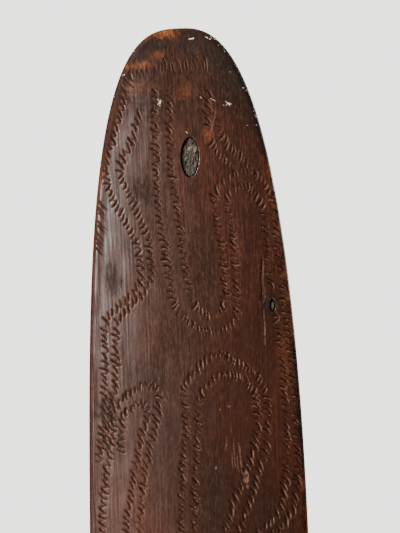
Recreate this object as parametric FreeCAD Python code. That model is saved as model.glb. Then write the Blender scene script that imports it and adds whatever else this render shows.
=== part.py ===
"""A non-returning boomerang, carved from the natural bend of one piece of dense hardwood.

The blade is one solid piece of wood: two arms that meet in a soft elbow, a flat back, a cambered front
face and rounded edges. Near one tip the stub of a side branch runs through the wood as a dead knot: a
wedge of weathered core wood, held in a thin ring of bark. A pin knot, the same thing at a small scale,
sits by the outer edge further along the same arm. The carved lines on the front face are shallow and
aren't modelled here.

Units are millimetres. The blade is drawn lying on its back: the back in the plane Z = 0, the front face
up, the tips along -X and +X, and +Y the outer, convex side of the bend. The knots are in the -X arm.
Every piece is then stood up: in the finished part +Z runs from the lower tip to the upper one, which has
the knots, +X is the outer side of the bend, the front face looks along -Y, and the back is the plane
Y = 0. The origin is on the back, in the middle of the elbow.
"""

import FreeCAD, Part
import math
import os

# The blade in plan
ARM_REACH = 331.0  # from the elbow to either tip, along the line that joins the tips
ARM_DROOP = 17.0  # degrees that an arm far from the elbow turns from that line: they meet at 146
ELBOW_SOFTNESS = 31.0  # how far the elbow is rounded off, below the crossing of the arms' straight lines
BLADE_WIDTH = 72.0  # across the elbow, the widest place
WIDTH_HOLD = 4.7  # exponent: higher keeps the width further along the arm
TIP_BLUNTNESS = 2.75  # exponent: 2 is an elliptical tip, higher is blunter

# The blade in section
THICKNESS = 10.5  # in the middle of the elbow
TIP_THICKNESS = 6.6  # in the middle of a tip
THICKNESS_HOLD = 3.0  # exponent: higher keeps the thickness further along the arm
CAMBER_RADIUS = 125.0  # of the front face, across the blade
EDGE_ROUND = 2.0  # radius on the front and the back edge
EDGE_SHARE = 0.48  # the radius takes no more than this share of the wood at the edge

# The dead knot near the tip
KNOT_FROM_TIP = 42.0  # along the arm, to the knot's middle
KNOT_OFFSET = 1.9  # from the arm's middle line, towards the outer edge
KNOT_LENGTH = 13.8  # along the grain, outside the bark
KNOT_WIDTH = 6.8
KNOT_TILT = -3.0  # degrees from the arm's line
KNOT_TAPER = 0.8  # its size at the back, as a share of its size at the front
BARK = 0.6  # thickness of the bark ring
CORE_SUNK = 0.7  # the core's top below the front face
BARK_SUNK = 1.3  # the bark's top below the front face
KNOT_BACK_GAP = 0.4  # core and bark stop this far short of the back, clear of what the blade rests on

# The pin knot by the outer edge
PIN_FROM_TIP = 91.0  # along the arm
PIN_FROM_EDGE = 6.4  # from the outer edge to its middle
PIN_LENGTH = 4.2
PIN_WIDTH = 1.9
PIN_DEPTH = 3.0
PIN_SUNK = 0.5

# How finely the curves are set out
TIP_STATIONS = 8  # on each side of a tip
TIP_SPREAD = 0.8  # share of the full width that they cover
ARM_STATIONS = 9  # on each side of an arm
FACE_STATIONS = 25  # along the front face
FACE_LANES = 7  # across the front face
MARGIN = 10.0  # the tools that cut the blade and its sockets reach this far past the wood


def centreline(x):
    """The middle of the blade at x: a hyperbola, whose arms are nearly straight."""
    slope = math.tan(math.radians(ARM_DROOP))
    return FreeCAD.Vector(x, ELBOW_SOFTNESS - math.hypot(ELBOW_SOFTNESS, x * slope), 0)


def outward(x):
    """Unit vector square to the centreline at x, towards the outer edge."""
    slope = math.tan(math.radians(ARM_DROOP))
    fall = x * slope**2 / math.hypot(ELBOW_SOFTNESS, x * slope)
    return FreeCAD.Vector(fall, 1, 0).normalize()


def half_width(share):
    """Half the blade's width at that share of the way from the elbow to a tip."""
    return BLADE_WIDTH / 2 * (1 - share**WIDTH_HOLD) ** (1 / TIP_BLUNTNESS)


def front_height(x, across):
    """Height of the front face over the back at x, that far from the centreline."""
    share = abs(x) / ARM_REACH
    middle = THICKNESS - (THICKNESS - TIP_THICKNESS) * share**THICKNESS_HOLD
    return middle - across**2 / (2 * CAMBER_RADIUS)


def edge_shares():
    """Shares of the reach at which the edges are set out, from the tip inwards and close together there."""
    widths = [TIP_SPREAD * i / TIP_STATIONS for i in range(1, TIP_STATIONS + 1)]
    near_tip = [(1 - width**TIP_BLUNTNESS) ** (1 / WIDTH_HOLD) for width in widths]
    along_arm = [near_tip[-1] * (1 - i / ARM_STATIONS) for i in range(1, ARM_STATIONS)]
    return near_tip + along_arm


def outline():
    """The blade's outline as one smooth closed curve."""
    shares = edge_shares()
    stations = [-share for share in shares] + [0.0] + shares[::-1]
    outer = []
    inner = []
    for station in stations:
        x = station * ARM_REACH
        side = outward(x) * half_width(abs(station))
        outer.append(centreline(x) + side)
        inner.append(centreline(x) - side)
    points = [centreline(-ARM_REACH)] + outer + [centreline(ARM_REACH)] + inner[::-1]
    curve = Part.BSplineCurve()
    curve.interpolate(Points=points, PeriodicFlag=True)
    return Part.Wire([curve.toShape()])


def below_front():
    """Everything below the front face, wider and longer than the blade."""
    reach = ARM_REACH + MARGIN
    side = BLADE_WIDTH / 2 + MARGIN
    rows = []
    for i in range(FACE_STATIONS):
        x = reach * (2 * i / (FACE_STATIONS - 1) - 1)
        row = []
        for j in range(FACE_LANES):
            across = side * (2 * j / (FACE_LANES - 1) - 1)
            place = centreline(x) + outward(x) * across
            row.append(FreeCAD.Vector(place.x, place.y, front_height(x, across)))
        rows.append(row)
    surface = Part.BSplineSurface()
    surface.interpolate(rows)
    return surface.toShape().extrude(FreeCAD.Vector(0, 0, -THICKNESS - MARGIN))


def edge_radius():
    """The edges' radius, limited by the thinnest wood along the edge."""
    thinnest = min(front_height(s * ARM_REACH, half_width(s)) for s in edge_shares() + [0.0])
    return min(EDGE_ROUND, EDGE_SHARE * thinnest)


def along_outline(edge):
    """True for an edge of the blade that runs round its outline, front or back."""
    ends = edge.BoundBox
    upright = ends.ZLength > ends.XLength and ends.ZLength > ends.YLength
    return not upright


def blank():
    """The blade before its knots: outline and camber, with both edges rounded."""
    prism = Part.Face(outline()).extrude(FreeCAD.Vector(0, 0, THICKNESS + MARGIN))
    solid = prism.common(below_front()).Solids[0]
    return solid.makeFillet(edge_radius(), [edge for edge in solid.Edges if along_outline(edge)])


def station(from_tip):
    """Where the -X arm's middle line is that far from its tip, measured along the arm."""
    return from_tip * math.cos(math.radians(ARM_DROOP)) - ARM_REACH


def on_arm(x, offset):
    """(place, degrees of the arm's line) at x, that far from the arm's middle line."""
    side = outward(x)
    return centreline(x) + side * offset, math.degrees(math.atan2(-side.x, side.y))


def oval(length, width, place, turn, height):
    """An oval wire at that height, its length turned that many degrees from X."""
    wire = Part.Wire([Part.Ellipse(FreeCAD.Vector(0, 0, 0), length / 2, width / 2).toShape()])
    wire.rotate(FreeCAD.Vector(0, 0, 0), FreeCAD.Vector(0, 0, 1), turn)
    wire.translate(FreeCAD.Vector(place.x, place.y, height))
    return wire


def knot_wedge(inset, low, high):
    """The dead knot's tapering wedge, less that inset all round, between two heights."""
    x = station(KNOT_FROM_TIP)
    place, turn = on_arm(x, KNOT_OFFSET)
    front = front_height(x, KNOT_OFFSET)
    ends = []
    for height in (low, high):
        size = KNOT_TAPER + (1 - KNOT_TAPER) * height / front
        length = KNOT_LENGTH * size - 2 * inset
        width = KNOT_WIDTH * size - 2 * inset
        ends.append(oval(length, width, place, turn + KNOT_TILT, height))
    return Part.makeLoft(ends, True, True)


def pin_offset(x):
    """How far the pin knot at x is from the arm's middle line."""
    return half_width(abs(x) / ARM_REACH) - PIN_FROM_EDGE


def pin_rod(low, high):
    """The pin knot's oval rod between two heights."""
    x = station(PIN_FROM_TIP)
    place, turn = on_arm(x, pin_offset(x))
    face = Part.Face(oval(PIN_LENGTH, PIN_WIDTH, place, turn, low))
    return face.extrude(FreeCAD.Vector(0, 0, high - low))


def stood_up(shape):
    """The shape turned from lying on its back to standing, with its knots at the top."""
    upright = FreeCAD.Rotation(
        FreeCAD.Vector(0, 0, -1), FreeCAD.Vector(1, 0, 0), FreeCAD.Vector(0, -1, 0), "XYZ"
    )
    return shape.transformed(FreeCAD.Placement(FreeCAD.Vector(0, 0, 0), upright).toMatrix(), True)


def build():
    """Every piece by name, stood up."""
    knot_front = front_height(station(KNOT_FROM_TIP), KNOT_OFFSET)
    core_top = knot_front - CORE_SUNK
    bark_top = knot_front - BARK_SUNK
    pin_x = station(PIN_FROM_TIP)
    pin_front = front_height(pin_x, pin_offset(pin_x))
    pin_floor = pin_front - PIN_DEPTH

    knot_hole = knot_wedge(0, -MARGIN, knot_front + MARGIN)
    pin_hole = pin_rod(pin_floor, pin_front + MARGIN)
    bark = knot_wedge(0, KNOT_BACK_GAP, bark_top)
    bark_bore = knot_wedge(BARK, -MARGIN, knot_front + MARGIN)
    pieces = {
        "blade": blank().cut(knot_hole).cut(pin_hole),
        "knot_bark": bark.cut(bark_bore),
        "knot_core": knot_wedge(BARK, KNOT_BACK_GAP, core_top),
        "pin_knot": pin_rod(pin_floor, pin_front - PIN_SUNK),
    }
    return {name: stood_up(shape).Solids[0] for name, shape in pieces.items()}


os.makedirs("parts", exist_ok=True)
for name, solid in build().items():
    solid.exportStep(f"parts/{name}.step")
    print(name, "valid" if solid.isValid() else "NOT VALID", round(solid.Volume), "mm3")
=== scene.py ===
"""The looks of a carved hardwood boomerang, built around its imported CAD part.

Lengths are millimetres until a mesh is made, and metres in Blender. A place on the blade is given as
(along, across): along the middle line from the upper tip, and across it, positive towards the outer edge
of the bend. A position in plan is (x, y) as the blade lies on its back, with the elbow at x = 0.
"""

import math

import bmesh
import bpy
import numpy as np
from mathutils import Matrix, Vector, kdtree


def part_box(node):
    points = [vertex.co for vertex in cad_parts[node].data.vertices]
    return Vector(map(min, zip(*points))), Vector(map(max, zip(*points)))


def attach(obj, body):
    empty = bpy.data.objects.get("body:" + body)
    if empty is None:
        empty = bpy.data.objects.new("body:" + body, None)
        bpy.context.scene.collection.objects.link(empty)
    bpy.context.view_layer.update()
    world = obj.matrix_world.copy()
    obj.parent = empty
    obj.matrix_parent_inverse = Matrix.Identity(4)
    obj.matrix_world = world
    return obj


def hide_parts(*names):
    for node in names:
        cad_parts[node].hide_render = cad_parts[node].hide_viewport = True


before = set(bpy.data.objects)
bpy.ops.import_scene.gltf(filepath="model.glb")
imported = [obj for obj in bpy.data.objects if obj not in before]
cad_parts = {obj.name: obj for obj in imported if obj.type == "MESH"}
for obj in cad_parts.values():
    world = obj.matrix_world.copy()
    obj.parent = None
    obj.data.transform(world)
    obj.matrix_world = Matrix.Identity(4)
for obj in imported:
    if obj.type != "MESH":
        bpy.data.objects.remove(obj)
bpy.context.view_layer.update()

MM = 0.001
TINY = 1e-9
SEED = 11

# The blade's sizes in the CAD part
REACH = 331.0
DROOP = math.radians(17.0)
SOFTNESS = 31.0
WIDTH = 72.0
WIDTH_HOLD = 4.7
TIP_BLUNTNESS = 2.75
THICKNESS = 10.5
TIP_THICKNESS = 6.6
THICKNESS_HOLD = 3.0
CAMBER_RADIUS = 125.0
EDGE_ROUND = 2.0

# The knots' sizes in the CAD part
KNOT_FROM_TIP = 42.0
KNOT_OFFSET = 1.9
KNOT_LENGTH = 13.8
KNOT_WIDTH = 6.8
KNOT_TILT = math.radians(-3.0)
KNOT_TAPER = 0.8
BARK = 0.6
CORE_SUNK = 0.7
BARK_SUNK = 1.3
KNOT_BACK_GAP = 0.4
PIN_FROM_TIP = 91.0
PIN_FROM_EDGE = 6.4
PIN_LENGTH = 4.2
PIN_WIDTH = 1.9
PIN_DEPTH = 3.0
PIN_SUNK = 0.5

# How finely the blade is meshed
FINE_STEP = 0.32  # along the arm that the camera is close to
COARSE_STEP = 0.8  # along the rest
FINE_LENGTH = 176.0
FRONT_LANES = 215
BACK_LANES = 61
SIDE_ROWS = 6
OUTLINE_SAMPLES = 6000
LINE_SAMPLES = 4001
PLAN_ROUNDS = 6  # in which a plan position finds its place on the blade
RIM_PARTS = 3  # samples of the rim from one cross-section to the next
NEAR_RIM = 6.0  # the distance to the rim is exact when less than this
TIP_SHARE = 0.93  # and beyond this share of the reach
MERGE_GAP = 2e-6  # metres
SMALLEST_EDGE = 1e-7  # metres

rng = np.random.default_rng(SEED)


# ---- the blade's form

def smoothstep(low, high, value):
    """0 at low and 1 at high, with a soft start and end."""
    t = np.clip((value - low) / (high - low), 0, 1)
    return t * t * (3 - 2 * t)


def ripple(along, across, long_wave, cross_wave, seed, waves=14):
    """A smooth random surface between about -1 and 1, with those wavelengths along and across."""
    dice = np.random.default_rng(seed)
    total = np.zeros(np.broadcast(along, across).shape)
    for _ in range(waves):
        turn = dice.uniform(0, 2 * math.pi)
        stretch = dice.uniform(0.6, 1.7)
        phase = dice.uniform(0, 2 * math.pi)
        swing = math.cos(turn) * along / long_wave + math.sin(turn) * across / cross_wave
        total += np.sin(2 * math.pi * stretch * swing + phase)
    return total / math.sqrt(waves) / 1.4


def distances(points):
    """How far along a line of points each of them is."""
    return np.concatenate([[0], np.cumsum(np.linalg.norm(np.diff(points, axis=0), axis=1))])


def middle(x):
    """The bend's middle line: its y in plan at x."""
    return SOFTNESS - np.hypot(SOFTNESS, x * math.tan(DROOP))


def outward(x):
    """Unit vectors in plan, square to the middle line at x, towards the outer edge."""
    fall = x * math.tan(DROOP) ** 2 / np.hypot(SOFTNESS, x * math.tan(DROOP))
    return np.stack([fall, np.ones_like(fall)], axis=-1) / np.hypot(fall, 1.0)[..., None]


def half_width(x):
    """Half the blade's width at x."""
    share = np.clip(np.abs(x) / REACH, 0, 1)
    return WIDTH / 2 * (1 - share**WIDTH_HOLD) ** (1 / TIP_BLUNTNESS)


def front_height(x, across):
    """Height of the smooth front face over the back."""
    share = np.abs(x) / REACH
    crown = THICKNESS - (THICKNESS - TIP_THICKNESS) * share**THICKNESS_HOLD
    return crown - across**2 / (2 * CAMBER_RADIUS)


def rounding(from_rim):
    """How far the edges' rounding takes a face in, at that distance from the rim."""
    to_flat = EDGE_ROUND - np.minimum(from_rim, EDGE_ROUND)
    return EDGE_ROUND - np.sqrt(np.maximum(EDGE_ROUND**2 - to_flat**2, 0))


def in_plan(x, across):
    """Plan positions of places at x, across the middle line."""
    x, across = np.broadcast_arrays(np.asarray(x, float), np.asarray(across, float))
    return np.stack([x, middle(x)], axis=-1) + outward(x) * across[..., None]


def on_blade(plan):
    """(x, across) of plan positions: the reverse of in_plan."""
    x = plan[..., 0]
    for _ in range(PLAN_ROUNDS):
        side = outward(x)
        across = (plan[..., 0] - x) * side[..., 0] + (plan[..., 1] - middle(x)) * side[..., 1]
        x = plan[..., 0] - side[..., 0] * across
    return x, across


def stand_up(plan, height):
    """Blender positions, in metres, of plan positions and heights over the back."""
    return np.stack([plan[..., 1], -np.asarray(height), -plan[..., 0]], axis=-1) * MM


LINE_X = np.linspace(-REACH, REACH, LINE_SAMPLES)
LINE_ALONG = distances(np.stack([LINE_X, middle(LINE_X)], axis=-1))
TOTAL = LINE_ALONG[-1]


def x_at(along):
    """x of places that far along the middle line."""
    return np.interp(along, LINE_ALONG, LINE_X)


def along_at(x):
    """How far along the middle line x is."""
    return np.interp(x, LINE_X, LINE_ALONG)


def stations():
    """x of the cross-sections from tip to tip, evenly spaced round the outline: fine, then coarse."""
    share = 1 - np.linspace(0, 1, OUTLINE_SAMPLES) ** TIP_BLUNTNESS
    run = distances(np.stack([share * REACH, half_width(share * REACH)], axis=-1))
    coarse = np.arange(0, run[-1] - COARSE_STEP / 2, COARSE_STEP)
    fine = np.arange(0, FINE_LENGTH, FINE_STEP)
    fine = np.concatenate([fine, coarse[coarse > FINE_LENGTH + FINE_STEP]])
    upper = -REACH * np.interp(fine, run, share)
    lower = REACH * np.interp(coarse, run, share)
    return np.concatenate([upper, [0.0], lower[::-1]])


# ---- the carved rows

# Each row is a line of zigzag strokes by a narrow gouge. Rows run in pairs.
BAND = [(23.5, -19), (17.5, -17.5), (14, -15), (12.5, -11), (12, -4), (12.5, 3), (12, 6), (12.5, 9)]
SHORT_ROWS = [
    [(20.5, 8.5), (29.5, 8), (36, 8.5), (41, 11), (45.5, 15.5)],
    [(29.5, 11.5), (34, 12), (39, 14.5), (45, 21)],
]
LOOP_INNER = [
    (19.5, -8), (36.5, -9), (53, -9), (67, -8), (80.5, -6.5), (88.5, -5), (94, -1.5), (97.5, 4),
    (97.5, 10), (94.5, 14), (88, 15), (67.5, 14.5), (57, 13), (52.5, 16), (52, 19.5), (55, 22.5),
    (61, 25), (77, 25.5), (90, 26.5), (103, 28.5), (131, 29), (143.5, 28.5), (152, 27), (158.5, 24),
    (163.5, 17),
]
LOOP_OUTER = [
    (19.5, -3.5), (36.5, -4.5), (53, -3.5), (70.5, -2), (85.5, 0), (90.5, 2.5), (93, 6.5), (91, 10),
    (86, 11.5), (69, 10.5), (55, 9), (50.5, 12), (47.5, 16), (47, 21), (51, 25), (56.5, 27.5),
    (65, 28.5), (87, 30), (105, 31.5), (129.5, 32.3), (148, 32), (158.5, 28.5), (165, 22),
]
INNER_EDGE_ROWS = [
    [
        (19.5, -17.5), (30.5, -21), (42.5, -25), (47, -25.5), (53.5, -23.5), (66.5, -17.5),
        (73.5, -15.5), (79.5, -15.5), (84.5, -18), (92, -26.5), (98.5, -28), (121, -29), (139, -31.5),
    ],
    [
        (26.5, -13), (36.5, -17), (42, -20), (47, -20.5), (53, -18), (66.5, -13), (73.5, -12),
        (79.5, -12), (84.5, -15), (92, -22.5), (97, -24.3), (111.5, -25), (120.5, -27), (136, -29.5),
    ],
]
INNER_ARCHES = [
    [
        (162, -31), (148, -30), (132.5, -27), (124, -26), (119, -23.5), (116.5, -20), (114, -15.5),
        (116, -12), (121, -11.5), (135.5, -15), (144, -17), (164.5, -19.5), (184, -20), (215, -17),
        (232, -15), (239, -19), (236, -25), (222, -29), (195, -31), (168, -31),
    ],
    [
        (136, -24.3), (129, -24), (123.5, -22.5), (121, -19.5), (120.5, -16.5), (124, -15), (133, -18),
        (149, -21.5), (164.5, -23.5), (184, -24), (212, -21.5), (228, -19), (231, -22), (220, -25.5),
        (196, -27.5),
    ],
]
OUTER_ARCHES = [
    [
        (226, -1), (218, -4.5), (205, -5.5), (186, -5.5), (152, -5), (127.5, -3), (115.5, -3),
        (111, 0.5), (107, 4.5), (105.3, 9), (108, 14), (111.5, 19), (116, 22), (122, 23.5), (136, 22),
        (151, 17), (167, 11), (186, 7), (206, 4.5), (218, 2.5), (226, -1),
    ],
    [
        (212, 0.5), (203, -1.5), (186, -1.5), (152, -1), (127.5, 1), (118.5, 2), (114.5, 5), (111.8, 9),
        (112.8, 14), (115.5, 17.5), (119.5, 19.5), (127, 20), (135, 18.5), (150, 12.5), (165.5, 6.5),
        (184, 3), (200, 2), (212, 0.5),
    ],
]
MIDDLE_ROWS = [
    [(171, 28.5), (200, 30.5), (260, 32), (340, 32.5), (420, 32), (480, 30.5), (505, 28.5)],
    [(178, 24.5), (205, 26.5), (260, 28), (340, 28.5), (420, 28), (480, 26.5), (500, 24)],
    [(252, -31), (300, -32.3), (340, -32.6), (390, -32.3), (428, -31)],
    [(246, -26.5), (300, -28.3), (340, -28.6), (390, -28.3), (434, -26.5)],
    [
        (300, -19), (262, -17), (246, -13), (240, -4), (236, 8), (240, 17), (250, 21.5), (280, 22),
        (302, 17), (314, 5), (322, -9), (334, -18), (352, -21),
    ],
    [
        (298, -15), (264, -13), (251, -9.5), (245, -1), (241.5, 8), (245, 14), (253, 17.5), (278, 18),
        (298, 13), (309, 2), (317, -12), (331, -22), (352, -25),
    ],
    [
        (330, 21.5), (336, 8), (346, -5), (360, -13), (392, -15), (414, -11), (424, -2), (428, 9),
        (422, 18), (408, 22), (372, 21), (352, 17),
    ],
    [
        (336, 20), (341, 10), (350, -1), (362, -9), (391, -11), (410, -7.5), (419, 0.5), (422, 9),
        (417, 14.5), (405, 18), (373, 17), (357, 13),
    ],
    [(276, 8), (284, 9.5), (292, 6), (289, 0), (279, -1), (273, 4), (276, 8)],
    [(380, 5), (388, 8), (397, 5), (396, -1), (386, -3), (378, 0), (380, 5)],
]

STROKE_PITCH = 1.1  # along a row that runs with the blade
CROSS_PITCH = 0.56  # along a row that runs across it
PITCH_SIGHT = 0.8  # half the stretch of row that a stroke takes its direction from
STROKE_REACH = 1.3  # from the row's line to a stroke's end
STROKE_DEPTH = 0.38
STROKE_WIDTH = 0.39  # half the width of a stroke's groove
CROSS_WIDTH = 0.62  # share of that width where a row runs across the blade
LINK_DEPTH = 0.2  # share of the depth in the strokes that link the deep ones
STROKE_BURR = 0.15  # how far an edge is raised, as a share of the depth
STROKE_LEAN = np.array((0.87, 0.5))  # in plan: the tool keeps near to this direction
STROKE_SKEW = 1.7  # how much that direction turns the strokes
STROKE_PROFILE = np.array((0.35, 0.9, 1.0, 0.9, 0.35))  # depths along a stroke
LIT_SIDE = np.array((0.35, 0.94))  # in plan: the side that the gouge leans to and lifts, which is the side whose wall faces the light; painted highlight goes on that raised edge
BAND_REACH = 2.4
BAND_DEPTH = 0.26

# How unevenly the hand works: lowest and highest shares
SLIP = (-0.4, 0.4)  # of the pitch
REACH_SPREAD = (0.45, 1.2)
WIDTH_SPREAD = (0.7, 1.2)
DEPTH_SPREAD = (0.45, 1.2)
HOOK = (-0.34, 0.04)  # of a stroke's length: how far its middle is off its chord


def smooth_line(points, step=0.25):
    """A Catmull-Rom curve through (along, across) points, as closely spaced plan positions."""
    knots = np.array([points[0]] + list(points) + [points[-1]], float)
    pieces = []
    for a, b, c, d in zip(knots, knots[1:], knots[2:], knots[3:]):
        t = np.linspace(0, 1, max(2, int(np.linalg.norm(c - b) / step)), endpoint=False)[:, None]
        bend = 2 * a - 5 * b + 4 * c - d
        twist = 3 * b - a - 3 * c + d
        pieces.append(0.5 * (2 * b + (c - a) * t + bend * t**2 + twist * t**3))
    places = np.concatenate(pieces + [knots[-1:]])
    return in_plan(x_at(places[:, 0]), places[:, 1])


def tapered(points, depth):
    """A smooth line, and depths along it that run out at both ends."""
    line = smooth_line(points)
    return line, depth * np.sin(np.linspace(0.1, math.pi - 0.1, len(line))) ** 0.6


def zigzag(points, reach=STROKE_REACH, depth=STROKE_DEPTH):
    """The strokes of one row, each as (start, bend, end, depth, half width).

    Every other stroke lies nearer to the tool's own direction, and is deeper than the ones between.
    """
    line = smooth_line(points)
    run = distances(line)

    def at(stop):
        return np.array([np.interp(stop, run, line[:, 0]), np.interp(stop, run, line[:, 1])])

    corners = []
    widths = []
    stop = rng.uniform(0, 1)
    while stop < run[-1]:
        ahead = at(stop + PITCH_SIGHT) - at(stop - PITCH_SIGHT)
        ahead /= np.linalg.norm(ahead)
        square = np.array([-ahead[1], ahead[0]])
        pitch = STROKE_PITCH * ahead[0] ** 2 + CROSS_PITCH * ahead[1] ** 2
        side = 1 if len(corners) % 2 else -1
        skew = side * STROKE_SKEW * (ahead @ STROKE_LEAN) * (square @ STROKE_LEAN) / 2
        slip = pitch * (skew + rng.uniform(*SLIP))
        away = side * reach * rng.uniform(*REACH_SPREAD)
        corners.append(at(stop) + ahead * slip + square * away)
        width = STROKE_WIDTH * (CROSS_WIDTH + (1 - CROSS_WIDTH) * ahead[0] ** 2)
        widths.append(width * rng.uniform(*WIDTH_SPREAD))
        stop += pitch
    corners = np.array(corners)
    spans = np.diff(corners, axis=0)
    likeness = np.abs(spans @ STROKE_LEAN) / np.linalg.norm(spans, axis=1)
    around = (np.roll(likeness, 1) + np.roll(likeness, -1)) / 2
    deep = depth * (LINK_DEPTH + (1 - LINK_DEPTH) * smoothstep(-0.12, 0.18, likeness - around))
    deep *= rng.uniform(*DEPTH_SPREAD, len(spans))
    hook = np.stack([spans[:, 1], -spans[:, 0]], axis=-1) * rng.uniform(*HOOK, (len(spans), 1))
    return list(zip(corners, corners[:-1] + spans / 2 + hook, corners[1:], deep, widths))


def mirrored(points):
    """Much the same row on the lower arm, by the same hand."""
    row = []
    for along, across in points:
        lower = TOTAL - 3 - 0.97 * along + 1.5 * math.sin(across / 7)
        row.append((lower, across * (1 - 0.03 * math.cos(along / 19))))
    return row


def all_strokes():
    """Every stroke of every row on the front."""
    rows = SHORT_ROWS + [LOOP_INNER, LOOP_OUTER] + INNER_EDGE_ROWS + INNER_ARCHES + OUTER_ARCHES
    strokes = zigzag(BAND, BAND_REACH, BAND_DEPTH)
    for row in rows + MIDDLE_ROWS:
        strokes += zigzag(row)
    strokes += zigzag(mirrored(BAND), BAND_REACH, BAND_DEPTH)
    for row in rows:
        strokes += zigzag(mirrored(row))
    return strokes


# ---- wear and damage

# What the wood's colours follow: shares from 0 to 1 at every point of the blade
MASKS = ("carve", "burr", "rim", "crack", "deep", "wear_and_highlight", "stain", "scuff", "plaster")

HEWN_DEPTH = 0.1  # of the front's long waves
FINE_HEWN_DEPTH = 0.05
HEWN_SUNK = 0.12  # keeps those waves below the CAD part's face
GRAIN_DEPTH = 0.014
FACET_DEPTH = 0.22  # of the adze marks on the back

CRACK = [(74.5, 23.6), (79, 23.2), (83, 22.8), (86, 23.0), (89, 22.6)]
CRACK_DEPTH = 0.7
CRACK_WIDTH = 0.27  # half of it
SCRATCH_BURR = 0.3
SCRATCHES = [  # line, depth, half its width, depth that would show as fully bare
    ([(26, 11), (31, 9.8), (37, 8)], 0.14, 0.26, 0.3),
    ([(28, 9.4), (33.5, 9.0)], 0.1, 0.2, 0.3),
    ([(73.5, 23.8), (78, 23.7), (83, 23.5), (88, 24.0)], 0.1, 0.2, 0.22),
    ([(86, 23.9), (88.5, 23.5), (90, 22.8)], 0.12, 0.22, 0.3),
    ([(91.5, 23.2), (97, 23.3), (103.5, 23.1)], 0.12, 0.2, 0.18),
    ([(131.3, 9.4), (133.4, 9.6), (136.2, 8.8)], 0.12, 0.26, 0.26),
    ([(130.8, 11.9), (134.5, 11.8), (139.5, 12.0), (143, 12.5)], 0.14, 0.2, 0.3),
    ([(136, 11.1), (142, 11.2)], 0.12, 0.18, 0.3),
    ([(137, 12.7), (143.4, 13.2)], 0.12, 0.18, 0.3),
    ([(133, 13.4), (137.5, 13.8), (144, 14.2)], 0.14, 0.24, 0.26),
]
WHITE_NICKS = [  # line, half its width
    ([(22.6, -7.6), (24.0, -6.6)], 0.2), ([(24.4, -7.6), (23.4, -6.4)], 0.2),
    ([(22.9, -6.6), (25.2, -6.9)], 0.18), ([(25.6, 13.4), (25.2, 16.4)], 0.16),
    ([(24.4, 14.3), (25.9, 15.6)], 0.18), ([(25.9, 14.2), (24.8, 15.6)], 0.16),
    ([(23.4, 9.6), (24.2, 11.0)], 0.16), ([(22.7, 6.2), (23.2, 6.6)], 0.2),
    ([(3.9, 3.6), (3.7, 5.0)], 0.3), ([(3.4, 8.9), (3.9, 9.6)], 0.24),
    ([(33.5, 1.0), (34.2, 1.6)], 0.16),
]
NICK_DEPTH = 0.1
TOOL_MARKS = 9  # slanting cuts by the inner edge
TOOL_MARK_START = 55.0
TOOL_MARK_STEP = 1.9
TOOL_MARK_FULL = 0.4  # depth that would show as fully carved
RIM_SPECKS = 46  # specks of old white plaster by the rim of the upper tip
SPECK_STRETCH = (3, 34)  # along
INNER_SPECKS = 0.15  # share of the specks that are by the inner rim
SPECK_DEPTH = 0.08
CHIPS = [  # along, across, size, depth
    (143.6, 15.2, 0.7, 0.25), (145.6, 15.6, 1.1, 0.3), (147.8, 15.9, 0.7, 0.25), (141.5, 6, 0.5, 0.12),
    (123, 8, 0.4, 0.12), (122, 11, 0.45, 0.12),
]
# by mask: along, across, radius along, radius across, strength
PATCHES = {
    "deep": [
        (165, 16, 70, 26, 1.0), (105, 22, 40, 14, 0.6), (330, -6, 60, 22, 0.6), (470, 14, 80, 20, 0.8),
    ],
    "stain": [
        (8.0, -13.5, 4.0, 6.5, 1.0), (5.2, -7, 3.2, 6, 1.0), (5.5, 4, 6, 9, 0.95), (9, 12, 9, 9, 1.0),
        (15, 18, 13, 9, 1.0), (18, -3, 15, 17, 0.55), (27, 23, 10, 5, 0.75), (52, -14, 5, 3.5, 0.6),
        (80, -25, 6, 3.2, 0.6), (34, 3.0, 3.5, 3.4, 0.6), (51.5, 2.2, 3.5, 3.2, 0.5),
        (122, -28, 5, 3.5, 0.8), (152, 5.5, 22, 5, 0.6), (90.0, 25.6, 3.8, 3.0, 1.0), (74, 4, 15, 5, 0.35),
        (100, -6, 12, 8, 0.35), (112, -14, 9, 8, 0.3), (172, 22, 26, 12, 0.5),
    ],
    "wear_and_highlight": [
        (108, 30, 15, 4, 0.14), (60, 30, 12, 3, 0.22), (1.4, -4, 2.2, 4.4, 1.0), (11.5, -13, 1.6, 5.5, 0.6),
        (8.5, -7, 1.8, 3, 0.5), (20.5, 1.5, 3.0, 3.4, 0.4), (18.5, -13.5, 2.6, 5, 0.28),
        (35, 8, 2.8, 1.8, 0.38),
    ],
}
# worn, bare wood along the rims; on the outer rim this orange band is also a painted highlight
# side (1 outer, -1 inner), start and end along the blade, strength
RIM_WEAR_AND_HIGHLIGHT = [
    (1, 46, 100, 1.0), (1, 146, 200, 0.9), (1, 300, 380, 0.5),
    (-1, 0, 6, 0.4), (-1, 42, 56, 0.25), (-1, 420, 470, 0.4),
]


def worn_twin(along, across):
    """Where the lower arm has the like of a patch on the upper one."""
    return TOTAL - 0.93 * along, 5 - 0.85 * across


def lift(grid, where, values):
    """Raises part of a grid to those values, where they are higher."""
    grid[where] = np.maximum(grid[where], values)


# ---- the blade's mesh

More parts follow.
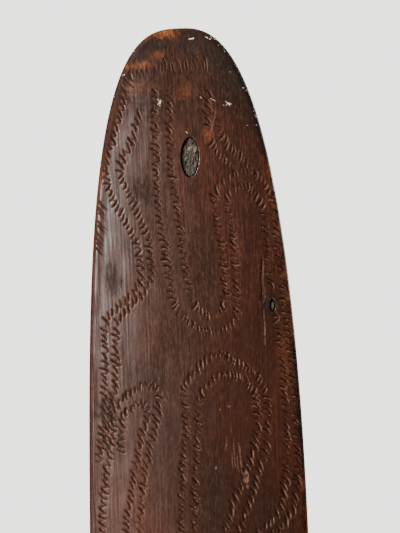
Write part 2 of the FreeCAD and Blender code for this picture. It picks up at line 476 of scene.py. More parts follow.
class Blade:
    """The blade as one closed grid: cross-sections (rows) by places round the section (columns)."""

    def __init__(self):
        self.x = stations()
        self.half = half_width(self.x)
        share = np.linspace(-1, 1, FRONT_LANES)
        back_share = np.sin(np.linspace(math.pi / 2, -math.pi / 2, BACK_LANES))
        self.front_across = self.half[:, None] * share
        self.front_plan = in_plan(self.x[:, None], self.front_across)
        self.back_across = self.half[:, None] * back_share
        self.back_plan = in_plan(self.x[:, None], self.back_across)
        self.rim = np.concatenate([self.front_plan[:, -1], self.front_plan[::-1, 0]])
        self.front_edge = self.distance_to_rim(self.front_plan)
        self.back_edge = self.distance_to_rim(self.back_plan)
        self.along = np.repeat(along_at(self.x)[:, None], FRONT_LANES, axis=1)
        self.front = front_height(self.x[:, None], self.front_across)
        self.back = np.zeros_like(self.back_across)
        self.cut = np.zeros_like(self.front)
        self.raised = np.zeros_like(self.front)
        self.masks = {name: np.zeros_like(self.front) for name in MASKS}

    def distance_to_rim(self, plan):
        """Distance of each plan position from the outline, exact only near it."""
        closed = np.concatenate([self.rim, self.rim[:1]])
        steps = np.diff(closed, axis=0)
        samples = np.concatenate([closed[:-1] + steps * part / RIM_PARTS for part in range(RIM_PARTS)])
        tree = kdtree.KDTree(len(samples))
        for i, spot in enumerate(samples):
            tree.insert((*spot, 0), i)
        tree.balance()
        away = self.half[:, None] - np.linalg.norm(plan - in_plan(self.x, 0.0)[:, None], axis=-1)
        near = (away < NEAR_RIM) | (np.abs(self.x) > TIP_SHARE * REACH)[:, None]
        for i, j in zip(*np.nonzero(near)):
            away[i, j] = tree.find((*plan[i, j], 0))[2]
        return away

    def window(self, spots, pad):
        """Slices of the front grid round some plan positions."""
        x, across = on_blade(spots)
        rows = np.searchsorted(self.x, (x.min() - pad, x.max() + pad))
        half = self.half[min(int(rows.mean()), len(self.half) - 1)] + TINY
        share = (np.array((across.min() - pad, across.max() + pad)) / half + 1) / 2 * (FRONT_LANES - 1)
        columns = np.clip(share + (0, 2), 0, FRONT_LANES).astype(int)
        return slice(*rows), slice(*columns)

    def groove(self, line, depth, width, full, burr=0.0, mask="carve"):
        """Cuts a groove along a plan polyline.

        depth is one value or one per point, width is half the groove's, full is the depth at which the
        mask is 1, and burr is the share of the depth by which the tool raises one side: the side facing
        the light, which the burr mask also gives painted highlight.
        """
        line = np.asarray(line)
        depth = np.broadcast_to(depth, len(line))
        where = self.window(line, width * 2.6)
        plan = self.front_plan[where]
        if not plan.size:
            return
        cut = np.zeros(plan.shape[:2])
        raised = np.zeros(plan.shape[:2])
        for a, b, deep_a, deep_b in zip(line, line[1:], depth, depth[1:]):
            span = b - a
            t = np.clip(((plan - a) @ span) / max(span @ span, TINY), 0, 1)
            offset = plan - a - t[..., None] * span
            gap = np.linalg.norm(offset, axis=-1) / width
            deep = deep_a + (deep_b - deep_a) * t
            cut = np.maximum(cut, deep * np.clip(1 - gap**1.7, 0, 1))
            if burr:
                toward_light = smoothstep(0.1, 0.8, offset @ LIT_SIDE / width)
                raised = np.maximum(raised, deep * toward_light * np.exp(-(((gap - 1.15) / 0.42) ** 2)))
        lift(self.cut, where, cut)
        lift(self.raised, where, raised * burr)
        lift(self.masks[mask], where, cut / full)
        # painted highlight: the burr mask marks the raised edge on the side facing the light
        lift(self.masks["burr"], where, raised / full)

    def dent(self, mask, along, across, size, depth):
        """A small ragged hollow that a mask follows."""
        spot = in_plan(x_at(along), across)
        where = self.window(spot[None], size * 1.6)
        gap = np.linalg.norm(self.front_plan[where] - spot, axis=-1) / size
        gap += 0.3 * ripple(self.along[where], self.front_across[where], 1.5, 0.8, int(along * 7))
        lift(self.cut, where, depth * smoothstep(1.0, 0.5, gap))
        lift(self.masks[mask], where, smoothstep(1.1, 0.6, gap))

    def carve(self):
        """All relief on the front and back, and the masks that go with it."""
        for start, bend, end, depth, width in all_strokes():
            t = np.linspace(0, 1, len(STROKE_PROFILE))[:, None]
            line = (1 - t) ** 2 * start + 2 * t * (1 - t) * bend + t**2 * end
            self.groove(line, STROKE_PROFILE * depth, width, full=STROKE_DEPTH, burr=STROKE_BURR)
        self.damage()
        self.tool_marks()
        self.chips_and_specks()
        self.masks["burr"] *= np.clip(1 - 2.2 * self.masks["carve"], 0, 1)
        along, across = self.along, self.front_across
        hewn = HEWN_DEPTH * ripple(along, across, 55, 26, 3)
        hewn += FINE_HEWN_DEPTH * ripple(along, across, 16, 7, 4)
        grain = GRAIN_DEPTH * ripple(along, across, 60, 1.1, 5, waves=40) * smoothstep(22, 48, along)
        inner_zone = smoothstep(0.5, 4.0, self.front_edge)
        self.front += (hewn - HEWN_SUNK) * inner_zone + grain + self.raised - self.cut
        back_along = np.repeat(along_at(self.x)[:, None], BACK_LANES, axis=1)
        facets = np.abs(ripple(back_along, self.back_across, 42, 17, 8))
        self.back += FACET_DEPTH * facets * smoothstep(0.5, 5.0, self.back_edge)

    def damage(self):
        """The drying crack, the scratches, and nicks that old plaster has filled."""
        crack = smooth_line(CRACK)
        t = np.linspace(0, 1, len(crack))
        gaping = CRACK_DEPTH * np.sin(math.pi * t) ** 0.5 * (0.75 + 0.25 * np.sin(9 * t))
        self.groove(crack, gaping, CRACK_WIDTH, full=CRACK_DEPTH, mask="crack")
        for line, depth, width, full in SCRATCHES:
            self.groove(*tapered(line, depth), width, full=full, burr=SCRATCH_BURR, mask="scuff")
        for line, width in WHITE_NICKS:
            self.groove(smooth_line(line), NICK_DEPTH, width, full=NICK_DEPTH, mask="plaster")

    def tool_marks(self):
        """A row of slanting cuts in from the inner edge, which run out inwards."""
        for k in range(TOOL_MARKS):
            along = TOOL_MARK_START + TOOL_MARK_STEP * (k + rng.uniform(-0.3, 0.3))
            across = -half_width(x_at(along)) + rng.uniform(0.8, 1.6)
            inner_end = (along + 3.4, across + rng.uniform(2.6, 3.6))
            line = smooth_line([(along, across), (along + 1.7, across + 1.5), inner_end])
            depth = np.linspace(rng.uniform(0.12, 0.22), 0, len(line))
            self.groove(line, depth, rng.uniform(0.45, 0.65), full=TOOL_MARK_FULL)

    def chips_and_specks(self):
        """Chips in the face, and specks of old plaster by the upper tip's rim."""
        for along, across, size, depth in CHIPS:
            self.dent("scuff", along, across, size, depth)
        for along in rng.uniform(*SPECK_STRETCH, RIM_SPECKS):
            side = -1 if rng.uniform() < INNER_SPECKS else 1
            across = side * max(half_width(x_at(along)) - rng.exponential(0.9) - 0.3, 0)
            self.dent("plaster", along, across, rng.uniform(0.1, 0.27), SPECK_DEPTH)

    def patch(self, mask, along, across, long_radius, cross_radius, strength, seed):
        """A soft-edged, ragged patch in a mask."""
        away = np.hypot((self.along - along) / long_radius, (self.front_across - across) / cross_radius)
        away += 0.3 * ripple(self.along, self.front_across, 5, 2.4, seed)
        away += 0.22 * ripple(self.along, self.front_across, 1.8, 0.8, seed + 1)
        lift(self.masks[mask], ..., strength * smoothstep(1.35, 0.15, away))

    def colour_zones(self):
        """The masks that aren't cut: patches, worn rims (the outer one also a painted highlight), and the
        rim's edge darkened by grime and painted shade.
        """
        for mask, patches in PATCHES.items():
            for along, across, *rest in patches:
                seed = int(along * 3) % 97
                self.patch(mask, along, across, *rest, seed)
                if mask != "deep":
                    self.patch(mask, *worn_twin(along, across), *rest, seed + 7)
        ragged = 0.9 * ripple(self.along, self.front_across, 9, 3, 21)
        ragged += 0.5 * ripple(self.along, self.front_across, 2.5, 1.2, 22)
        rim = smoothstep(1.7, 0.2, self.front_edge + ragged)
        outer = self.front_across > 0
        for side, start, end, strength in RIM_WEAR_AND_HIGHLIGHT:
            zone = smoothstep(start - 6, start + 2, self.along) * smoothstep(end + 6, end - 2, self.along)
            # bare, orange rim wood: wear, and on the outer rim painted highlight
            lift(self.masks["wear_and_highlight"], ..., rim * strength * zone * (outer == (side > 0)))
        tips = smoothstep(55, 25, np.minimum(self.along, TOTAL - self.along))
        # rim: the rounded edge darkened, grime and painted shade that keeps the rounding from catching
        # light, most near the tips
        self.masks["rim"] = smoothstep(3.6, 1.2, self.front_edge) * (0.3 + 0.7 * tips)

    def mesh_object(self):
        """The mesh object: front, outer side, back and inner side, all the way round."""
        front = self.front - rounding(self.front_edge)
        back = self.back + rounding(self.back_edge)
        columns = [(self.front_plan[:, j], front[:, j]) for j in range(FRONT_LANES)]
        rise = np.linspace(0, 1, SIDE_ROWS + 2)[1:-1]
        columns += [(self.front_plan[:, -1], front[:, -1] * (1 - t) + back[:, 0] * t) for t in rise]
        columns += [(self.back_plan[:, j], back[:, j]) for j in range(BACK_LANES)]
        columns += [(self.front_plan[:, 0], back[:, -1] * (1 - t) + front[:, 0] * t) for t in rise]
        plan = np.stack([column[0] for column in columns], axis=1)
        height = np.stack([column[1] for column in columns], axis=1)
        blade = skinned("blade_wood", stand_up(plan, height))
        mesh = blade.data
        along = np.repeat(along_at(self.x)[:, None], len(columns), axis=1)
        across = np.einsum("ijk,ik->ij", plan - in_plan(self.x, 0.0)[:, None], outward(self.x))
        store(mesh, "grain", np.stack([along, across, height], axis=-1))
        for name, mask in self.masks.items():
            store(mesh, name, self.spread(mask, len(columns)))
        merge(mesh)
        return blade

    def spread(self, mask, count):
        """A front mask carried on to the sides, and fading out on the back."""
        full = np.zeros((len(self.x), count))
        full[:, :FRONT_LANES] = mask
        outer, inner = mask[:, -1], mask[:, 0]
        for k in range(SIDE_ROWS):
            share = 1 - 0.6 * (k + 1) / SIDE_ROWS
            full[:, FRONT_LANES + k] = outer * share
            full[:, count - 1 - k] = inner * share
        back = FRONT_LANES + SIDE_ROWS
        fade = 0.4 * smoothstep(6.0, 0.0, self.back_edge)
        nearer_outer = np.linspace(0, 1, BACK_LANES) < 0.5
        full[:, back:back + BACK_LANES] = fade * np.where(nearer_outer, outer[:, None], inner[:, None])
        return full


def skinned(name, spots, closed=False):
    """An object from a grid of positions: rings, joined one to the next and, if closed, last to first."""
    rows, count = spots.shape[:2]
    index = np.arange(rows * count).reshape(rows, count)
    if closed:
        index = np.concatenate([index, index[:1]])
    right = np.roll(index, -1, axis=1)
    quads = np.stack([index[:-1], right[:-1], right[1:], index[1:]], axis=-1).reshape(-1, 4)
    mesh = bpy.data.meshes.new(name)
    mesh.from_pydata(spots.reshape(-1, 3).tolist(), [], quads.tolist())
    piece = bpy.data.objects.new(name, mesh)
    bpy.context.collection.objects.link(piece)
    return piece


def store(mesh, name, values):
    """Keeps a number or a vector for each point of the mesh."""
    kind, field = ("FLOAT_VECTOR", "vector") if values.ndim == 3 else ("FLOAT", "value")
    attribute = mesh.attributes.new(name, kind, "POINT")
    attribute.data.foreach_set(field, np.ascontiguousarray(values, np.float32).ravel())


def merge(mesh):
    """Joins points that fall together, as at the tips, and faces every face outwards."""
    work = bmesh.new()
    work.from_mesh(mesh)
    bmesh.ops.remove_doubles(work, verts=work.verts, dist=MERGE_GAP)
    bmesh.ops.dissolve_degenerate(work, edges=work.edges, dist=SMALLEST_EDGE)
    bmesh.ops.recalc_face_normals(work, faces=work.faces)
    for face in work.faces:
        face.smooth = True
    work.to_mesh(mesh)
    work.free()


# ---- the knots

KNOT_SLACK = 0.05  # between a modelled knot and the wood or bark round it
KNOT_LIP = 0.36  # how far the wood has grown in over the bark
LIP_RISE = 0.15  # from the bark's top to the lip's underside
LIP_SLOPE = 0.1
DRILL_PAST = 2.0  # a hole's cutter reaches this far past the wood
KNOT_SPOKES = 96
PIN_SPOKES = 32


def knot_spot(from_tip, offset, tilt=0.0):
    """(plan position, turn, height of the front face) of a knot in the upper arm."""
    x = from_tip * math.cos(DROOP) - REACH
    side = outward(np.array(x))
    return in_plan(x, offset), math.atan2(-side[0], side[1]) + tilt, float(front_height(x, offset))


def dead_knot_spot():
    return knot_spot(KNOT_FROM_TIP, KNOT_OFFSET, KNOT_TILT)


def pin_knot_spot():
    x = PIN_FROM_TIP * math.cos(DROOP) - REACH
    return knot_spot(PIN_FROM_TIP, float(half_width(x)) - PIN_FROM_EDGE)


def knot_body(name, spot, profile, closed=False, spokes=KNOT_SPOKES, relief=None):
    """An oval body from (half length, half width, height) rings. relief adds to a ring's heights."""
    place, turn, _ = spot
    around = np.linspace(0, 2 * math.pi, spokes, endpoint=False)
    lengthwise = np.array((math.cos(turn), math.sin(turn)))
    sideways = np.array((-math.sin(turn), math.cos(turn)))
    rings = []
    for half_length, half_wide, height in profile:
        a = half_length * np.cos(around)
        b = half_wide * np.sin(around)
        top = height + (relief(a, b, height) if relief else 0.0) + np.zeros(spokes)
        rings.append(stand_up(place + a[:, None] * lengthwise + b[:, None] * sideways, top))
    body = skinned(name, np.array(rings), closed)
    merge(body.data)
    return body


def knot_half(height, front, inset=0.0):
    """Half the dead knot's length and width at a height."""
    size = KNOT_TAPER + (1 - KNOT_TAPER) * height / front
    return KNOT_LENGTH * size / 2 - inset, KNOT_WIDTH * size / 2 - inset


def core_wood():
    """The dead knot's core, with a cracked, weathered top."""
    spot = dead_knot_spot()
    front = spot[2]
    top = front - CORE_SUNK
    inset = BARK + KNOT_SLACK

    def weathered(a, b, height):
        if height < top - 1.2:
            return 0.0
        cells = 0.6 * np.abs(ripple(a, b, 4.5, 1.8, 31)) + 0.35 * np.abs(ripple(a, b, 1.5, 0.8, 32))
        return -cells * (0.7 if height >= top - 0.05 else 0.3)

    a, b = knot_half(KNOT_BACK_GAP, front, inset)
    profile = [(a * share, b * share, KNOT_BACK_GAP) for share in (0, 0.5, 0.9, 1)]
    for height in np.linspace(KNOT_BACK_GAP, top - 0.5, 6)[1:]:
        profile.append((*knot_half(height, front, inset), height))
    a, b = knot_half(top, front, inset)
    profile.append((a * 0.97, b * 0.95, top - 0.12))
    profile += [(a * share, b * share, top) for share in np.linspace(0.92, 0, 22)]
    return knot_body("knot_core_wood", spot, profile, relief=weathered)


def bark_ring():
    """The thin ring of bark round the core, with a ragged top."""
    spot = dead_knot_spot()
    front = spot[2]
    top = front - BARK_SUNK

    def ragged(a, b, height):
        if height < top - 0.6:
            return 0.0
        angle = np.arctan2(b * 2, a)
        return 0.3 * np.sin(7 * angle) * np.sin(3 * angle + 1) - 0.15

    heights = np.linspace(KNOT_BACK_GAP, top - 0.2, 5)
    profile = [(*knot_half(height, front, KNOT_SLACK), height) for height in heights]
    profile += [(*knot_half(top, front, 0.2), top), (*knot_half(top, front, BARK - 0.12), top - 0.05)]
    profile += [(*knot_half(height, front, BARK), height) for height in heights[::-1]]
    return knot_body("knot_bark_ring", spot, profile, closed=True, relief=ragged)


def pin_wood():
    """The pin knot: a worn peg that fills its pit."""
    spot = pin_knot_spot()
    a, b = PIN_LENGTH / 2 - KNOT_SLACK, PIN_WIDTH / 2 - KNOT_SLACK
    low, high = spot[2] - PIN_DEPTH, spot[2] - PIN_SUNK

    def worn(a, b, height):
        return 0.12 * ripple(a, b, 1.6, 0.8, 33) if height > high - 0.2 else 0.0

    profile = [(0, 0, low), (a, b, low), (a, b, high - 1.1), (a * 0.66, b * 0.62, high - 0.15)]
    profile += [(a * share, b * share, high) for share in (0.5, 0.35, 0.2, 0)]
    return knot_body("pin_knot_wood", spot, profile, spokes=PIN_SPOKES, relief=worn)


def drill(blade, name, spot, rings):
    """Cuts a knot's hole out of the blade with a closed oval plug."""
    plug = knot_body(name, spot, [(0, 0, rings[0][2]), *rings, (0, 0, rings[-1][2])])
    cut = blade.modifiers.new("hole", "BOOLEAN")
    cut.operation = "DIFFERENCE"
    cut.object = plug
    cut.solver = "MANIFOLD"
    bpy.context.view_layer.update()
    shaped = bpy.data.meshes.new_from_object(blade.evaluated_get(bpy.context.evaluated_depsgraph_get()))
    blade.modifiers.clear()
    blade.data = shaped
    bpy.data.objects.remove(plug)


def drill_knot_holes(blade):
    """The dead knot's hole, with its lip over the bark, and the pin knot's pit."""
    spot = dead_knot_spot()
    front = spot[2]
    mouth = front - BARK_SUNK + LIP_RISE
    rings = [(*knot_half(height, front), height) for height in (-DRILL_PAST, mouth)]
    for height in (mouth + LIP_SLOPE, front + DRILL_PAST):
        rings.append((*knot_half(height, front, KNOT_LIP), height))
    drill(blade, "knot_cutter", spot, rings)
    spot = pin_knot_spot()
    ends = (spot[2] - PIN_DEPTH, spot[2] + DRILL_PAST)
    drill(blade, "pin_cutter", spot, [(PIN_LENGTH / 2, PIN_WIDTH / 2, height) for height in ends])


# ---- the bake layout

STRIPS = 4  # the length of each face is laid out in this many strips
STRIP_GAP = 2.0
FLAT_FACING = 0.6  # a face that looks forwards or back by more than this isn't a side


def values_of(items, field, size, kind):
    """One field of all items: an array, of rows where the field's size is over 1."""
    flat = np.empty(len(items) * size, kind)
    items.foreach_get(field, flat)
    return flat.reshape(-1, size) if size > 1 else flat


def lay_out(blade):
    """A UV map of front and back strips side by side, so that both get fine texture detail."""
    mesh = blade.data
    vertex = values_of(mesh.loops, "vertex_index", 1, np.int32)
    grain = values_of(mesh.attributes["grain"].data, "vector", 3, np.float32)[vertex]
    totals = values_of(mesh.polygons, "loop_total", 1, np.int32)
    facing = values_of(mesh.polygons, "normal", 3, np.float32)[:, 1]
    face = np.repeat(np.arange(len(totals)), totals)
    along, across, height = grain.T
    strip_length = TOTAL / STRIPS
    strip_width = WIDTH + 2 * THICKNESS + STRIP_GAP
    centre = np.bincount(face, along) / totals
    strip = np.clip((centre / strip_length).astype(int), 0, STRIPS - 1)
    slot = strip * 2 + (facing > FLAT_FACING)
    column, row = slot // STRIPS, slot % STRIPS
    on_side = np.abs(facing[face]) < FLAT_FACING
    spread = across + np.sign(across) * np.where(on_side, THICKNESS - height, 0)
    u = along - strip[face] * strip_length + column[face] * (strip_length + STRIP_GAP) + STRIP_GAP
    v = spread + strip_width * (row[face] + 0.5)
    size = max(2 * (strip_length + STRIP_GAP), STRIPS * strip_width) + STRIP_GAP
    spots = np.stack([u, v], axis=-1) / size
    mesh.uv_layers.new(name="OFBake").data.foreach_set("uv", spots.astype(np.float32).ravel())


# ---- materials

# Linear red, green and blue. A ramp is (position, colour) stops
PLAIN_WOOD = [(0.3, (0.0235, 0.0058, 0.003)), (0.5, (0.034, 0.0085, 0.0043)), (0.72, (0.052, 0.014, 0.0072))]
# bare wood: wear, and on the outer rim painted highlight
BARE_WOOD_AND_HIGHLIGHT = [(0.3, (0.05, 0.014, 0.006)), (0.5, (0.17, 0.046, 0.014)), (0.72, (0.3, 0.1, 0.032))]
SOOT = [(0.34, (0.006, 0.0053, 0.005)), (0.5, (0.012, 0.01, 0.0085)), (0.68, (0.036, 0.029, 0.021))]
KNOT_WOOD = [(0.36, (0.008, 0.006, 0.004)), (0.5, (0.043, 0.031, 0.019)), (0.66, (0.15, 0.122, 0.082))]
BARK_BROWN = [(0.35, (0.012, 0.008, 0.005)), (0.65, (0.085, 0.056, 0.035))]
FLOOR_PALE = [(0.3, (0.78, 0.77, 0.74)), (0.7, (0.82, 0.81, 0.78))]
RED_MOTTLE = (0.06, 0.012, 0.0026)
DARK_FIBRE = (0.0125, 0.004, 0.0027)
PORE = (0.008, 0.003, 0.0025)
MURK = (0.013, 0.0048, 0.0028)
LIGHT_FLECK = (0.095, 0.036, 0.023)
DARK_FLECK = (0.013, 0.0045, 0.003)
DEEP_RED = (0.017, 0.0036, 0.0011)
# grime and painted shade on the rounded rim
RIM_GRIME_AND_SHADE = (0.012, 0.006, 0.0045)
# grime and painted shade in the grooves
GROOVE_SHADE = (0.0078, 0.0036, 0.0027)
CRACK_BLACK = (0.004, 0.002, 0.002)
# painted highlight on the raised groove edges that face the light
BURR_HIGHLIGHT = (0.108, 0.058, 0.041)
SCUFF = (0.125, 0.068, 0.048)
OLD_PLASTER = (0.5, 0.46, 0.38)
KNOT_CRACK = (0.01, 0.007, 0.005)
KNOT_SHADE = (0.012, 0.007, 0.005)

# How much of the polish each mask takes off
POLISH_LOST = {"carve": 2.4, "burr": 0.7, "stain": 0.75, "rim": 0.9, "scuff": 2.0, "crack": 4.0}


class Nodes:
    """A short way to write a node material."""

    def __init__(self, name):
        self.material = bpy.data.materials.new(name)
        self.material.use_nodes = True
        self.tree = self.material.node_tree
        self.shader = self.tree.nodes["Principled BSDF"]

    def add(self, kind, *values, **settings):
        """A shader node of that kind, with values or links in its first inputs."""
        node = self.tree.nodes.new("ShaderNode" + kind)
        for key, value in settings.items():
            setattr(node, key, value)
        for socket, value in zip(node.inputs, values):
            self.feed(socket, value)
        return node

    def feed(self, socket, value):
        """Links a socket to another one, or gives it a plain value."""
        if isinstance(value, bpy.types.NodeSocket):
            self.tree.links.new(value, socket)
        else:
            socket.default_value = value

    def surface(self, name, value):
        self.feed(self.shader.inputs[name], value)

    def attribute(self, name, output="Fac"):
        return self.add("Attribute", attribute_name=name).outputs[output]

    def object_place(self):
        """The place on the object, in millimetres."""
        return self.stretched(self.add("TexCoord").outputs["Object"], (1 / MM,) * 3)

    def maths(self, operation, a, b, clamp=False):
        return self.add("Math", a, b, operation=operation, use_clamp=clamp).outputs[0]

    def stretched(self, vector, scale):
        return self.add("VectorMath", vector, scale, operation="MULTIPLY").outputs[0]

    def noise(self, vector, scale, detail, roughness=0.55, distortion=0.0):
        """Noise with its own scale along each axis."""
        node = self.add("TexNoise", self.stretched(vector, scale))
        settings = {"Scale": 1.0, "Detail": detail, "Roughness": roughness, "Distortion": distortion}
        for key, value in settings.items():
            node.inputs[key].default_value = value
        return node.outputs["Fac"]

    def ramp(self, value, stops):
        node = self.add("ValToRGB", value)
        bar = node.color_ramp.elements
        while len(bar) < len(stops):
            bar.new(0.5)
        for element, (position, colour) in zip(bar, stops):
            element.position = position
            element.color = (*colour, 1)
        return node.outputs["Color"]

    def mix(self, share, a, b):
        node = self.add("Mix", share, data_type="RGBA")
        for socket, value in ((node.inputs[6], a), (node.inputs[7], b)):
            self.feed(socket, value if isinstance(value, bpy.types.NodeSocket) else (*value, 1))
        return node.outputs[2]

    def range(self, value, low, high, to_low=0.0, to_high=1.0):
        return self.add("MapRange", value, low, high, to_low, to_high).outputs[0]

    def bump(self, height, distance, normal=None):
        """Bump of that many millimetres, on top of another bump where one is given."""
        node = self.add("Bump")
        node.inputs["Distance"].default_value = distance * MM
        self.feed(node.inputs["Height"], height)
        if normal is not None:
            self.feed(node.inputs["Normal"], normal)
        return node.outputs["Normal"]


def wood_colour(n, place, fibres, pores, grime):
    """The hardwood's colour: its grain first, then what time and the carver did to it."""
    streaks = n.noise(place, (0.012, 0.35, 0.35), 4, 0.6, 0.6)
    mottle = n.noise(place, (0.045, 0.09, 0.09), 4)
    murk = n.noise(place, (0.022, 0.05, 0.05), 3, 0.5)
    flecks = n.noise(place, (0.45, 2.2, 2.2), 5, 0.75, 0.4)
    wood = n.ramp(streaks, PLAIN_WOOD)
    wood = n.mix(n.range(mottle, 0.4, 0.62, 0, 0.75), wood, RED_MOTTLE)
    wood = n.mix(n.range(fibres, 0.4, 0.58, 0.75, 0), wood, DARK_FIBRE)
    wood = n.mix(n.range(pores, 0.3, 0.38, 0.6, 0), wood, PORE)
    wood = n.mix(n.range(murk, 0.44, 0.64, 0, 0.7), wood, MURK)
    wood = n.mix(n.range(flecks, 0.5, 0.66, 0, 0.5), wood, LIGHT_FLECK)
    wood = n.mix(n.range(flecks, 0.36, 0.5, 0.6, 0), wood, DARK_FLECK)
    wood = n.mix(n.maths("MULTIPLY", n.attribute("deep"), 0.74), wood, DEEP_RED)
    # bare wood where worn; on the outer rim this is also painted highlight
    worn = n.maths("MULTIPLY", n.attribute("wear_and_highlight"), n.range(flecks, 0.3, 0.6, 0.55, 1))
    wood = n.mix(worn, wood, n.ramp(grime, BARE_WOOD_AND_HIGHLIGHT))
    stained = n.maths("MULTIPLY", n.attribute("stain"), n.range(grime, 0.3, 0.6, 0.95, 0.7))
    wood = n.mix(stained, wood, n.ramp(flecks, SOOT))
    # the rim darkened where it isn't worn bare: grime and painted shade
    rim_grime_and_shade = n.maths("MULTIPLY", n.attribute("rim"), n.range(n.attribute("wear_and_highlight"), 0.1, 0.5, 0.42, 0))
    wood = n.mix(rim_grime_and_shade, wood, RIM_GRIME_AND_SHADE)
    # the grooves darkened: grime and painted shade in the hollows
    wood = n.mix(n.range(n.attribute("carve"), 0.1, 0.6, 0, 0.85), wood, GROOVE_SHADE)
    wood = n.mix(n.attribute("crack"), wood, CRACK_BLACK)
    # painted highlight: pale colour on the raised edges of the grooves that face the light
    wood = n.mix(n.range(n.attribute("burr"), 0.08, 0.5, 0, 0.85), wood, BURR_HIGHLIGHT)
    wood = n.mix(n.range(n.attribute("scuff"), 0.1, 0.9, 0, 0.65), wood, SCUFF)
    speck = n.maths("ADD", n.attribute("plaster"), n.maths("MULTIPLY", grime, 0.6))
    return n.mix(n.range(speck, 0.7, 1.1), wood, OLD_PLASTER)


def hardwood():
    """Dark, hand-rubbed red-brown hardwood whose grain follows the bend."""
    n = Nodes("hardwood")
    place = n.attribute("grain", "Vector")
    fibres = n.noise(place, (0.05, 1.9, 1.9), 5, 0.68, 0.3)
    pores = n.noise(place, (0.35, 5.0, 5.0), 2, 0.5)
    grime = n.noise(place, (0.9, 1.3, 1.3), 5, 0.7)
    n.surface("Base Color", wood_colour(n, place, fibres, pores, grime))
    rough = n.maths("ADD", n.range(fibres, 0.35, 0.7, 0.62, 0.48), n.range(grime, 0.4, 0.7, 0, 0.15))
    n.surface("Roughness", n.maths("ADD", rough, n.attribute("scuff"), clamp=True))
    n.surface("Specular IOR Level", 0.06)
    n.surface("Specular Tint", (1.0, 0.88, 0.82, 1))
    lost = 0.0
    for mask, share in POLISH_LOST.items():
        lost = n.maths("ADD", lost, n.maths("MULTIPLY", n.attribute(mask), share))
    n.surface("Coat Weight", n.maths("SUBTRACT", n.range(fibres, 0.4, 0.58, 0.3, 0.58), lost, clamp=True))
    n.surface("Coat Roughness", 0.33)
    n.surface("Coat IOR", 1.75)
    normal = n.bump(pores, 0.02, n.bump(fibres, 0.07))
    n.surface("Normal", n.bump(grime, 0.035, normal))
    return n.material


def weathered_knot(name, shade):
    """Grey-green, dry, fissured knot wood, that share of the way to dark."""
    n = Nodes(name)
    place = n.object_place()
    lumps = n.noise(place, (0.42, 0.42, 0.24), 5, 0.72, 0.6)
    cracks = n.noise(place, (1.9, 1.9, 0.45), 4, 0.65, 1.2)
    colour = n.mix(n.range(cracks, 0.38, 0.5, 0.9, 0), n.ramp(lumps, KNOT_WOOD), KNOT_CRACK)
    n.surface("Base Color", n.mix(shade, colour, KNOT_SHADE))
    n.surface("Roughness", n.range(lumps, 0.3, 0.7, 0.95, 0.7))
    n.surface("Normal", n.bump(cracks, 0.5, n.bump(lumps, 0.5)))
    return n.material


def bark_stuff():
    """Thin, black-brown, flaky bark."""
    n = Nodes("bark")
    flakes = n.noise(n.object_place(), (2.2, 2.2, 1.0), 6, 0.7, 1.0)
    n.surface("Base Color", n.ramp(flakes, BARK_BROWN))
    n.surface("Roughness", n.range(flakes, 0.3, 0.7, 0.98, 0.8))
    n.surface("Normal", n.bump(flakes, 0.4))
    return n.material


def floor_stuff():
    """Plain, pale and matt."""
    n = Nodes("floor")
    tone = n.noise(n.add("TexCoord").outputs["Object"], (3, 3, 3), 3)
    n.surface("Base Color", n.ramp(tone, FLOOR_PALE))
    n.surface("Roughness", 0.9)
    return n.material


# ---- the studio

CAMERA_ALONG = 77.0  # the view's centre, below the upper tip
CAMERA_ACROSS = 3.5
VIEW_HEIGHT = 173.5  # what the frame takes in, top to bottom
VIEW_DISTANCE = 480.0
VIEW_ROLL = math.radians(13.3)
SENSOR = 36.0
LIGHTS = [  # name, place in metres, size, power, colour, spread
    ("window", (-1.6, -1.25, 0.42), 1.1, 21.5, (1.0, 0.96, 0.91), 55),
    ("fill", (1.6, -0.6, 1.5), 0.9, 1.6, (1.0, 0.90, 0.80), 55),
    ("back_fill", (0.9, 1.6, 1.1), 1.4, 8.0, (1.0, 0.98, 0.95), 55),
    ("overhead", (0.0, 0.5, 2.4), 2.0, 9.0, (1.0, 0.99, 0.97), 80),
]
LIGHT_AIM = Vector((0, 0, 0.1))
BACKDROP = ((0.84, 0.83, 0.80, 1), 3.2)  # what the camera sees behind it: colour and strength
ROOM = ((0.80, 0.80, 0.78, 1), 0.04)  # what lights the object from all round
FLOOR_RADIUS = 1.25
FLOOR_GAP = 0.5  # the lower tip hangs this far over the floor


def camera_on(centre):
    """The camera, square to the blade's face and rolled as the blade leans."""
    data = bpy.data.cameras.new("camera")
    data.sensor_fit = "VERTICAL"
    data.sensor_height = SENSOR
    data.lens = SENSOR * VIEW_DISTANCE / VIEW_HEIGHT
    camera = bpy.data.objects.new("camera", data)
    camera.location = centre + Vector((0, -VIEW_DISTANCE * MM, 0))
    camera.rotation_euler = (math.pi / 2, -VIEW_ROLL, 0)
    bpy.context.scene.collection.objects.link(camera)
    bpy.context.scene.camera = camera


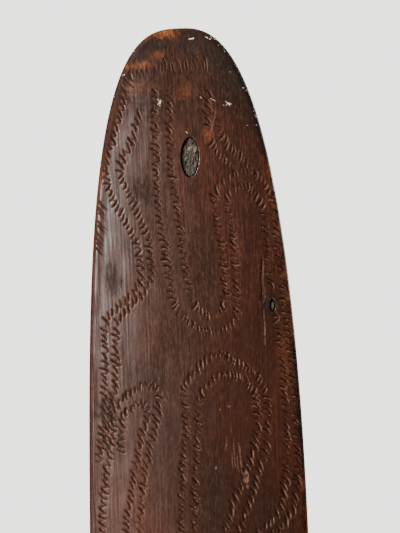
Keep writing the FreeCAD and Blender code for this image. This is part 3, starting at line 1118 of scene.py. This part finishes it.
def lamp(name, place, size, power, colour, spread):
    """A soft round light on the object."""
    light = bpy.data.lights.new(name, "AREA")
    light.shape = "DISK"
    light.size = size
    light.energy = power
    light.color = colour
    light.spread = math.radians(spread)
    holder = bpy.data.objects.new(name, light)
    holder.location = place
    holder.rotation_euler = (LIGHT_AIM - holder.location).to_track_quat("-Z", "Y").to_euler()
    bpy.context.scene.collection.objects.link(holder)


def surroundings():
    """A pale backdrop for the camera, and a dim room for everything else."""
    world = bpy.data.worlds.new("room")
    bpy.context.scene.world = world
    world.use_nodes = True
    links, nodes = world.node_tree.links, world.node_tree.nodes
    backdrop = nodes["Background"]
    room = nodes.new("ShaderNodeBackground")
    for node, (colour, strength) in ((backdrop, BACKDROP), (room, ROOM)):
        node.inputs["Color"].default_value = colour
        node.inputs["Strength"].default_value = strength
    seen = nodes.new("ShaderNodeLightPath")
    join = nodes.new("ShaderNodeMixShader")
    links.new(seen.outputs["Is Camera Ray"], join.inputs[0])
    links.new(room.outputs[0], join.inputs[1])
    links.new(backdrop.outputs[0], join.inputs[2])
    links.new(join.outputs[0], nodes["World Output"].inputs["Surface"])


def floor(level):
    """A plain round floor."""
    mesh = bpy.data.meshes.new("floor")
    work = bmesh.new()
    bmesh.ops.create_circle(work, cap_ends=True, segments=128, radius=FLOOR_RADIUS)
    work.to_mesh(mesh)
    work.free()
    ground = bpy.data.objects.new("floor", mesh)
    ground.location = (0, 0, level)
    bpy.context.collection.objects.link(ground)
    mesh.materials.append(floor_stuff())


# ---- putting it together

form = Blade()
form.carve()
form.colour_zones()
blade = form.mesh_object()
drill_knot_holes(blade)
lay_out(blade)

pieces = [
    (blade, "blade", hardwood(), "hardwood"),
    (core_wood(), "knot_core", weathered_knot("weathered_knot", 0.0), "weathered_knot"),
    (bark_ring(), "knot_bark", bark_stuff(), "bark"),
    (pin_wood(), "pin_knot", weathered_knot("dark_knot", 0.35), "weathered_knot"),
]
for piece, node, stuff, finish in pieces:
    piece.data.materials.clear()
    piece.data.materials.append(stuff)
    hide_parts(node)
    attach(piece, "root")

spot = stand_up(in_plan(x_at(CAMERA_ALONG), CAMERA_ACROSS), 0.0)
camera_on(Vector(spot.tolist()))
for light in LIGHTS:
    lamp(*light)
surroundings()
floor(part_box("blade")[0][2] - FLOOR_GAP * MM)
